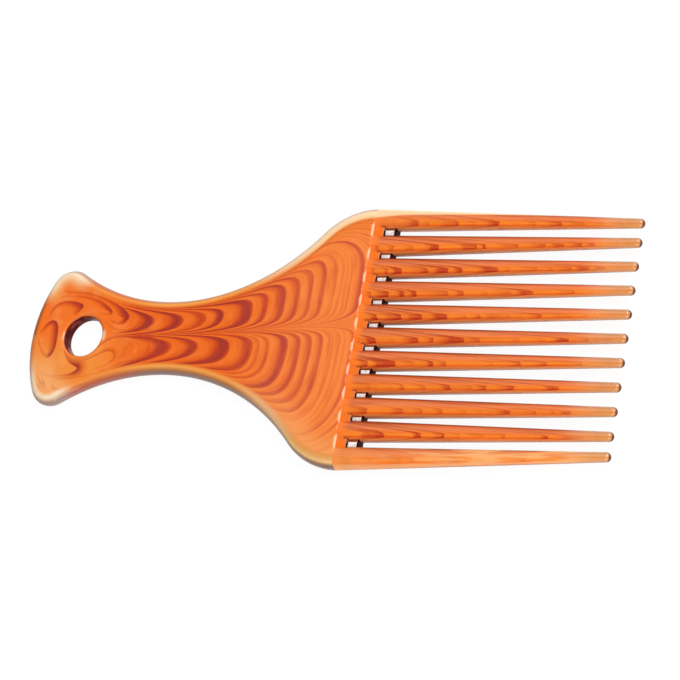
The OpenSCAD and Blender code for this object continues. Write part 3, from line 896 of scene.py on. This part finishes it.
def web_styrene():
    """Styrene with palm pigment on the upper step, and below it a pale pane of painted light in
    a dark frame of painted shade.
    """
    material, tree = empty_material("web_styrene")
    place = add(tree, COORDS, {}, output=OBJECT_COORDS)
    place = add(tree, VECTOR, {"operation": "SCALE", "Scale": 1 / MM}, place)
    x, y, z = add(tree, SPLIT, {}, place).node.outputs
    x = add(tree, MATH, "SUBTRACT", x, ROOT_X + LAND_L)
    margin = add(tree, ATTRIBUTE, {"attribute_name": "margin"}, output=FACTOR)
    span = add(tree, ATTRIBUTE, {"attribute_name": "span"}, output=FACTOR)
    under = add(tree, MATH, "LESS_THAN", z, UNDERSIDE)
    clear = add(tree, MATH, "MAXIMUM", add(tree, RANGE, SOFT, x, *LAND_END), under)
    # A mottle of white and grey over the pane's painted light
    pane_mottle = add(tree, NOISE, {}, place, None, PANE_MOTTLE_SCALE, PANE_MOTTLE_DETAIL)
    pane_mottle = add(tree, RANGE, {}, pane_mottle, *PANE_MOTTLE)
    # The pane ends short of the web's end, and only beside the upper tooth runs to the step
    open_l = add(tree, MATH, "MAXIMUM", add(tree, RANGE, SOFT, x, *PANE_START),
                 add(tree, RANGE, SOFT, span, *HIGH_PANE))
    open_l = add(tree, MATH, "MULTIPLY", open_l,
                 add(tree, RANGE, SOFT, x, *PANE_END, 1.0, 0.0))
    pane = add(tree, MATH, "MULTIPLY", add(tree, RANGE, SOFT, margin, *PANE_SIDE), open_l)
    pane = add(tree, MATH, "MAXIMUM", pane, add(tree, MATH, "SUBTRACT", 1.0, clear))
    pane = add(tree, MATH, "MAXIMUM", pane, under)
    # Painted shade: a dark dash on the land next to the step, beside the upper tooth
    dash_shade = add(tree, MATH, "MULTIPLY", add(tree, RANGE, SOFT, x, *DASH_START),
               add(tree, RANGE, SOFT, x, *DASH_END, 1.0, 0.0))
    dash_shade = add(tree, MATH, "MULTIPLY", dash_shade, add(tree, RANGE, SOFT, span, *DASH_SPAN))
    pane = add(tree, MATH, "MULTIPLY", pane, add(tree, MATH, "SUBTRACT", 1.0, dash_shade))
    # The sill: a brown line of painted shade across the upper part of the pane
    sill_shade = add(tree, MATH, "MULTIPLY", add(tree, RANGE, SOFT, span, *SILL_SPAN), open_l)
    sill_shade = add(tree, MATH, "MULTIPLY", sill_shade, clear)
    # The pane's white and grey are painted light; the frame and the sill are painted shade
    lit_pane = add(tree, MIX, {"data_type": "RGBA", "A_Color": LIT_PANE_WHITE, "B_Color": LIT_PANE_GREY},
                pane_mottle, output=COLOUR)
    land = add(tree, MIX, {"data_type": "RGBA", "A_Color": LAND_AMBER, "B_Color": lit_pane},
               clear, output=COLOUR)
    colour = add(tree, MIX, {"data_type": "RGBA", "A_Color": FRAME_SHADE_DARK,
                             "B_Color": FRAME_SHADE_BROWN}, open_l, output=COLOUR)
    for amount, over in ((pane, land), (sill_shade, SILL_SHADE_BROWN)):
        colour = add(tree, MIX, {"data_type": "RGBA", "A_Color": colour, "B_Color": over},
                     amount, output=COLOUR)
    plastic = add(tree, PLASTIC, {"Roughness": WEB_GLOSS, "IOR": STYRENE_IOR,
                                  "Specular IOR Level": WEB_SHINE}, colour)
    add(tree, SURFACE, {}, plastic)
    return material


webs = Shell()
for left, right in zip(teeth, teeth[1:]):
    add_web(webs, left, right)
web_piece = add_piece("root_web_bars", webs, web_styrene())
margins, spans = [], []
for x, y, z in webs.verts:
    gaps = [abs(y - t.centre(x)) - math.sqrt(max(0, t.radius(x) ** 2 - (z - MID_Z) ** 2))
            for t in teeth]
    first, second = sorted(gaps)[:2]
    nearest = teeth[gaps.index(first)]
    share = first / (first + second)
    margins.append(share)
    spans.append(1 - share if y < nearest.centre(x) else share)
add_field(web_piece, "span", spans)
add_field(web_piece, "margin", margins)
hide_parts("root_webs")
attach(web_piece, "root")


# Teeth: eleven round tapered teeth with ball tips. Pigment from the palm is drawn along
# them in ever thinner streaks, and towards the tips there is hardly any left. Their light and
# shade are painted in bands along them, with a dark crescent of shade on each ball tip.
AROUND = 64
SHANK_STEPS, TIP_STEPS = 44, 12
MERGE_GAP = 0.002
PITCH, OUTER_FROM = 6.2, 28.2
# Height across a tooth as the photo shows it: the parts of it that Y and Z make up
ACROSS = (0.0, 0.931, 0.365)
# Bands of pigment: their length, how they curve back on each flank, and how they fade
BAND_L, WARP_SCALE, WARP, WOBBLE_L, WOBBLE = 5.6, 0.9, 1.6, 7.0, 1.6
UPPER_CURVE, LOWER_CURVE, LOWER_FROM = (1.5, 26.0), (1.2, 30.0), -0.45
BAND_SHAPE = [(0, 0), (.35, .1), (.6, .55), (.85, 1), (.96, .9), (1, 0)]
BAND_CORE, BAND_FADE = (0.25, 0.0, 1.0, 1.5), (14.0, 45.0, 1.2, 0.65)
STREAK_L, STREAK_ACROSS, STREAKS = 22.0, 3.2, (0.35, 0.7, -0.25, 0.4)
# Colours over the height across a tooth, with little and with much pigment, and at the tip.
# Over that height they paint light and shade, on the shank a dark line along the top, a
# salmon band of reflection below it and a pale fringe along the bottom
LIGHT_TOOTH_SHADING = [(-1, "#d8b0a0"), (-.7, "#ffa662"), (-.44, "#fa6808"), (-.2, "#ff8c28"),
               (.1, "#f27e30"), (.5, "#e88050"), (.75, "#e07440"), (.93, "#a03c0c"),
               (1, "#80300c")]
DEEP_TOOTH_SHADING = [(-1, "#c8a090"), (-.7, "#f28a48"), (-.44, "#b82008"), (-.2, "#d04c1c"),
              (.1, "#bc4018"), (.5, "#b45834"), (.75, "#ac5028"), (.93, "#802c08"),
              (1, "#641808")]
TIP_SHADING = [(-1, "#d0bca8"), (-.75, "#d0a880"), (-.4, "#f8b670"), (0, "#e49858"),
               (.38, "#f8be8c"), (.7, "#caa074"), (1, "#f0e2d4")]
# The lowest tooth holds less pigment, in long pale streaks
HONEY, HONEY_L, HONEY_ACROSS, HONEY_SEED = "#fcc07c", 11.0, 2.2, 3.0
HONEY_STREAKS, HONEY_ALONG = (0.42, 0.58, 0.25, 1.0), (4.0, 42.0, 0.15, 0.7)
LOWEST_BANDS = 0.4
# Pale rims of the outer teeth: where they start across the tooth, over its length
UPPER_RIM, LOWER_RIM, RIM_SOFT = "#fad0a0", "#f2a262", (-0.05, 0.2)
UPPER_START, UPPER_FLARE = (0.0, 60.0, 0.0, 0.9), (0.0, 9.0, 0.2, 0.0)
LOWER_START = (0.0, 30.0, 0.62, 0.85)
# Roots take on the palm's colour: how far it reaches and how strong, inner and outer
ROOT_REACH, ROOT_SHARE = (3.5, 16.0), (0.9, 0.6)
ROOT_AMBER, UPPER_ROOT, LOWER_ROOT = "#ff7e28", "#f4823a", "#f0924a"
TIP_ALONG, TIP_CLEAR = (56.0, 71.0, 0.0, 0.85), (62.0, 69.0, 0.0, 0.75)
# Painted shade: a dark crescent on the ball tip, and how it leans and where it starts
BALL_SHADE, BALL_TILT = "#4c2018", -0.7
BALL_FROM = (ROOT_TO_TIP - 0.95, ROOT_TO_TIP - 0.5, 0.0, 0.95)
# Clear skin: low on the side, on the back and at the tip, but not at the root
LOW_CLEAR, LOW_CLEAR_ALONG, LEAST_CLEAR = (-0.88, -0.76, 1.0, 0.0), (6.0, 40.0, 0.25, 0.85), 0.08
BACK_CLEAR, TIP_GLASS, FROM_ROOT = (0.0, -0.4, 0.0, 0.85), 0.8, (0.5, 3.0)
TOOTH_GLOSS, TOOTH_SHINE, TOOTH_PIGMENT = 0.05, 0.3, 120.0


def tooth_darkness(tree, along, h, spot, seed):
    """Darkness of the drawn-out pigment: curved bands in the core and fine streaks."""
    above = add(tree, MATH, "MAXIMUM", h, 0.0)
    below = add(tree, MATH, "MAXIMUM", add(tree, MATH, "SUBTRACT", LOWER_FROM, h), 0.0)
    phase = along
    for part, (power, gain) in ((above, UPPER_CURVE), (below, LOWER_CURVE)):
        part = add(tree, MATH, "POWER", part, power)
        phase = add(tree, MATH, "MULTIPLY_ADD", part, gain, phase)
    warp = add(tree, NOISE, {}, spot, None, WARP_SCALE, 2.0)
    phase = add(tree, MATH, "MULTIPLY_ADD", warp, WARP, phase)
    wobble = add(tree, JOIN, {}, add(tree, MATH, "DIVIDE", phase, WOBBLE_L),
                 add(tree, MATH, "MULTIPLY", seed, 0.6))
    wobble = add(tree, NOISE, {"noise_dimensions": "2D"}, wobble, None, 1.0, 1.0)
    count = add(tree, MATH, "DIVIDE", phase, BAND_L)
    count = add(tree, MATH, "MULTIPLY_ADD", wobble, WOBBLE, count)
    shape = add(tree, CURVE, {"points": BAND_SHAPE}, 1.0, add(tree, MATH, "FRACT", count))
    band = add(tree, JOIN, {}, add(tree, MATH, "FLOOR", count), seed)
    depth = add(tree, "ShaderNodeTexWhiteNoise", {"noise_dimensions": "2D"}, band)
    dark = add(tree, MATH, "MULTIPLY", shape, depth)
    dark = add(tree, MATH, "MULTIPLY", dark, add(tree, RANGE, SOFT, h, *BAND_CORE))
    fading = add(tree, RANGE, {}, along, *BAND_FADE)
    streak = add(tree, JOIN, {}, add(tree, MATH, "DIVIDE", along, STREAK_L),
                 add(tree, MATH, "MULTIPLY", h, STREAK_ACROSS), seed)
    streak = add(tree, NOISE, {}, streak, None, 1.0, 2.0)
    streak = add(tree, RANGE, {}, streak, *STREAKS)
    return add(tree, MATH, {"operation": "MULTIPLY_ADD", "use_clamp": True}, dark, fading, streak)


def tooth_styrene():
    """Clear styrene with drawn-out pigment in its core and a clear skin. Its light and shade
    are painted in bands over the height across it, and as a dark crescent on the ball tip.
    """
    material, tree = empty_material("tooth_styrene")
    place = add(tree, ATTRIBUTE, {"attribute_name": "tooth_place"}, output=AS_VECTOR)
    along, side, up = add(tree, SPLIT, {}, place).node.outputs
    h = add(tree, VECTOR, "DOT_PRODUCT", place, ACROSS, output=VALUE)
    spot = add(tree, COORDS, {}, output=OBJECT_COORDS)
    spot = add(tree, VECTOR, {"operation": "SCALE", "Scale": 1 / MM}, spot)
    y = add(tree, SPLIT, {}, spot, output=1)
    seed = add(tree, MATH, "ROUND", add(tree, MATH, "DIVIDE", y, PITCH))
    outer = add(tree, MATH, "GREATER_THAN", add(tree, MATH, "ABSOLUTE", y), OUTER_FROM)
    upper = add(tree, MATH, "GREATER_THAN", y, 0.0)
    lowest = add(tree, MATH, "LESS_THAN", y, -OUTER_FROM)
    dark = tooth_darkness(tree, along, h, spot, seed)
    dark = add(tree, MATH, "MULTIPLY", dark,
               add(tree, RANGE, {}, lowest, 0.0, 1.0, 1.0, LOWEST_BANDS))
    honey = add(tree, JOIN, {}, add(tree, MATH, "DIVIDE", along, HONEY_L),
                add(tree, MATH, "MULTIPLY", h, HONEY_ACROSS), HONEY_SEED)
    honey = add(tree, NOISE, {}, honey, None, 1.0, 1.0)
    honey = add(tree, RANGE, SOFT, honey, *HONEY_STREAKS)
    honey = add(tree, MATH, "MULTIPLY", honey, add(tree, RANGE, SOFT, along, *HONEY_ALONG))
    honey = add(tree, MATH, "MULTIPLY", honey, lowest)
    # Only the two outer teeth have a pale rim, which runs on from the palm's clear edge
    outward = add(tree, MATH, "MULTIPLY", side, add(tree, MATH, "SIGN", y))
    upper_start = add(tree, MATH, "SUBTRACT", add(tree, RANGE, {}, along, *UPPER_START),
                      add(tree, RANGE, SOFT, along, *UPPER_FLARE))
    lower_start = add(tree, RANGE, {}, along, *LOWER_START)
    start = add(tree, MIX, {}, upper, None, lower_start, upper_start)
    rim = add(tree, RANGE, SOFT, add(tree, MATH, "SUBTRACT", outward, start), *RIM_SOFT)
    rim = add(tree, MATH, "MULTIPLY", rim, outer)
    reach = add(tree, RANGE, {}, outer, 0.0, 1.0, *ROOT_REACH)
    most = add(tree, RANGE, {}, outer, 0.0, 1.0, *ROOT_SHARE)
    root = add(tree, RANGE, SOFT, along, 0.0, reach, most, 0.0)
    root = add(tree, MATH, "MULTIPLY", root, add(tree, MATH, "SUBTRACT", 1.0, rim))
    tip = add(tree, RANGE, SOFT, along, *TIP_ALONG)
    # Painted shade on the ball tip, which also keeps that part from being clear
    ball_shade = add(tree, MATH, "MULTIPLY_ADD", up, BALL_TILT, along)
    ball_shade = add(tree, RANGE, SOFT, ball_shade, *BALL_FROM)
    rim_colour, outer_root = [
        add(tree, MIX, {"data_type": "RGBA", "A_Color": low, "B_Color": high}, upper,
            output=COLOUR) for low, high in ((LOWER_RIM, UPPER_RIM), (LOWER_ROOT, UPPER_ROOT))]
    root_colour = add(tree, MIX, {"data_type": "RGBA", "A_Color": ROOT_AMBER,
                                  "B_Color": outer_root}, outer, output=COLOUR)
    # Ramps over the height across the tooth, which paint its light and shade
    colour, deep_shading, tip_shading = [add(tree, RAMP, {"points": stops}, h)
                               for stops in (LIGHT_TOOTH_SHADING, DEEP_TOOTH_SHADING, TIP_SHADING)]
    for amount, over in ((dark, deep_shading), (honey, HONEY), (rim, rim_colour), (root, root_colour),
                         (tip, tip_shading), (ball_shade, BALL_SHADE)):
        colour = add(tree, MIX, {"data_type": "RGBA", "A_Color": colour, "B_Color": over},
                     amount, output=COLOUR)
    glass = add(tree, MATH, "MULTIPLY", add(tree, RANGE, SOFT, h, *LOW_CLEAR),
                add(tree, RANGE, {}, along, *LOW_CLEAR_ALONG))
    glass = add(tree, MATH, "MAXIMUM", glass, LEAST_CLEAR)
    glass = add(tree, MATH, "MAXIMUM", glass, add(tree, RANGE, SOFT, up, *BACK_CLEAR))
    at_tip = add(tree, RANGE, SOFT, along, *TIP_CLEAR)
    glass = add(tree, MIX, {}, at_tip, None, glass, TIP_GLASS)
    glass = add(tree, MATH, "MULTIPLY", glass, add(tree, RANGE, SOFT, along, *FROM_ROOT))
    glass = add(tree, MATH, "MULTIPLY", glass, add(tree, MATH, "SUBTRACT", 1.0, ball_shade))
    plastic = add(tree, PLASTIC, {"Roughness": TOOTH_GLOSS, "IOR": STYRENE_IOR,
                                  "Specular IOR Level": TOOTH_SHINE,
                                  "Transmission Weight": glass}, colour)
    inside = add(tree, "ShaderNodeVolumeAbsorption", {}, PIGMENT, TOOTH_PIGMENT)
    add(tree, SURFACE, {}, plastic, inside)
    return material


def tooth_tree(material):
    """Node group: a taper with a ball tip, round its own axis, then leaned and set in place."""
    tree = bpy.data.node_groups.new("tapered_tooth", "GeometryNodeTree")
    for name, kind in (("Length", "NodeSocketFloat"), ("Root radius", "NodeSocketFloat"),
                       ("Tip radius", "NodeSocketFloat"), ("Lean", "NodeSocketFloat"),
                       ("Root place", "NodeSocketVector")):
        tree.interface.new_socket(name=name, in_out="INPUT", socket_type=kind)
    tree.interface.new_socket(name="Tooth", in_out="OUTPUT", socket_type="NodeSocketGeometry")
    given = tree.nodes.new("NodeGroupInput").outputs
    length, root_r, tip_r, lean, root = (given[k] for k in range(5))

    # A rail of points along X: an even shank, then a quarter turn over the ball
    index = add(tree, "GeometryNodeInputIndex", {})
    shank = add(tree, MATH, "SUBTRACT", length, tip_r)
    share = add(tree, MATH, "DIVIDE", index, float(SHANK_STEPS))
    share = add(tree, MATH, "MINIMUM", share, 1.0)
    over = add(tree, MATH, "SUBTRACT", index, float(SHANK_STEPS))
    over = add(tree, MATH, "MAXIMUM", over, 0.0)
    angle = add(tree, MATH, "MULTIPLY", over, math.pi / 2 / TIP_STEPS)
    bulge = add(tree, MATH, "MULTIPLY", tip_r, add(tree, MATH, "SINE", angle))
    x = add(tree, MATH, "MULTIPLY_ADD", shank, share, bulge)
    growth = add(tree, MATH, "SUBTRACT", tip_r, root_r)
    taper = add(tree, MATH, "MULTIPLY_ADD", growth, share, root_r)
    radius = add(tree, MATH, "MULTIPLY", taper, add(tree, MATH, "COSINE", angle))
    rail = add(tree, "GeometryNodeMeshLine", {}, SHANK_STEPS + TIP_STEPS + 1)
    rail = add(tree, "GeometryNodeSetPosition", {}, rail, None, add(tree, JOIN, {}, x))
    rail = add(tree, "GeometryNodeMeshToCurve", {}, rail)
    rail = add(tree, "GeometryNodeSetCurveRadius", {}, rail, None, radius)
    ring = add(tree, "GeometryNodeCurvePrimitiveCircle", {"Radius": 1.0}, AROUND)
    skin = add(tree, "GeometryNodeCurveToMesh", {}, rail, ring, radius, True)
    skin = add(tree, "GeometryNodeMergeByDistance", {}, skin, None, MERGE_GAP * MM)

    # Place along the tooth in millimetres, and across it as a share of the radius there
    at = add(tree, "GeometryNodeInputPosition", {})
    parts = add(tree, SPLIT, {}, at).node.outputs
    share = add(tree, MATH, "MINIMUM", add(tree, MATH, "DIVIDE", parts[0], shank), 1.0)
    taper = add(tree, MATH, "MULTIPLY_ADD", growth, share, root_r)
    spot = add(tree, JOIN, {}, add(tree, MATH, "DIVIDE", parts[0], MM),
               add(tree, MATH, "DIVIDE", parts[1], taper),
               add(tree, MATH, "DIVIDE", parts[2], taper))
    skin = add(tree, "GeometryNodeStoreNamedAttribute",
               {"data_type": "FLOAT_VECTOR", "domain": "POINT"}, skin, None, "tooth_place", spot)

    # Lean, then slide the root ring along the leaned axis onto the palm's root plane
    leaned, axis = [add(tree, "ShaderNodeVectorRotate", {"rotation_type": "Z_AXIS",
                                                         "Angle": lean}, vector)
                    for vector in (at, (1.0, 0.0, 0.0))]
    skin = add(tree, "GeometryNodeSetPosition", {}, skin, None, leaned)
    back = add(tree, MATH, "MULTIPLY", add(tree, MATH, "COSINE", lean), -1.0)
    back = add(tree, MATH, "DIVIDE", parts[0], back)
    slide = add(tree, VECTOR, {"operation": "SCALE", "Scale": back}, axis)
    stored = add(tree, "GeometryNodeInputNamedAttribute", {"data_type": "FLOAT_VECTOR"},
                 "tooth_place")
    at_root = add(tree, "FunctionNodeCompare", "LESS_THAN", add(tree, SPLIT, {}, stored), 0.01)
    skin = add(tree, "GeometryNodeSetPosition", {}, skin, at_root, None, slide)
    skin = add(tree, "GeometryNodeTransform", {}, skin, root)
    bend = add(tree, "GeometryNodeInputMeshEdgeAngle", {})
    sharp = add(tree, "FunctionNodeCompare", "GREATER_THAN", bend, math.radians(SHARP))
    skin = add(tree, "GeometryNodeSetShadeSmooth", {"domain": "FACE"}, skin, None, True)
    skin = add(tree, "GeometryNodeSetShadeSmooth", {"domain": "EDGE"}, skin, sharp, False)
    skin = add(tree, "GeometryNodeRealizeInstances", {}, skin)
    skin = add(tree, "GeometryNodeSetMaterial", {}, skin, None, material)
    add(tree, "NodeGroupOutput", {}, skin)
    return tree


tree = tooth_tree(tooth_styrene())
sockets = {item.name: item.identifier for item in tree.interface.items_tree
           if item.in_out == "INPUT"}
for tooth in teeth:
    source = bpy.data.objects.new("grown_" + tooth.name, bpy.data.meshes.new("grown"))
    scene.collection.objects.link(source)
    grow = source.modifiers.new("tooth", "NODES")
    grow.node_group = tree
    grow[sockets["Length"]] = ROOT_TO_TIP / math.cos(tooth.lean) * MM
    grow[sockets["Root radius"]] = tooth.root_r * MM
    grow[sockets["Tip radius"]] = TOOTH_TIP_D / 2 * MM
    grow[sockets["Lean"]] = tooth.lean
    grow[sockets["Root place"]] = (ROOT_X * MM, tooth.root_y * MM, MID_Z * MM)
    grown = source.evaluated_get(bpy.context.evaluated_depsgraph_get())
    piece = bpy.data.objects.new("marbled_" + tooth.name, bpy.data.meshes.new_from_object(grown))
    bpy.data.objects.remove(source)
    scene.collection.objects.link(piece)
    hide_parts(tooth.name)
    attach(piece, "root")
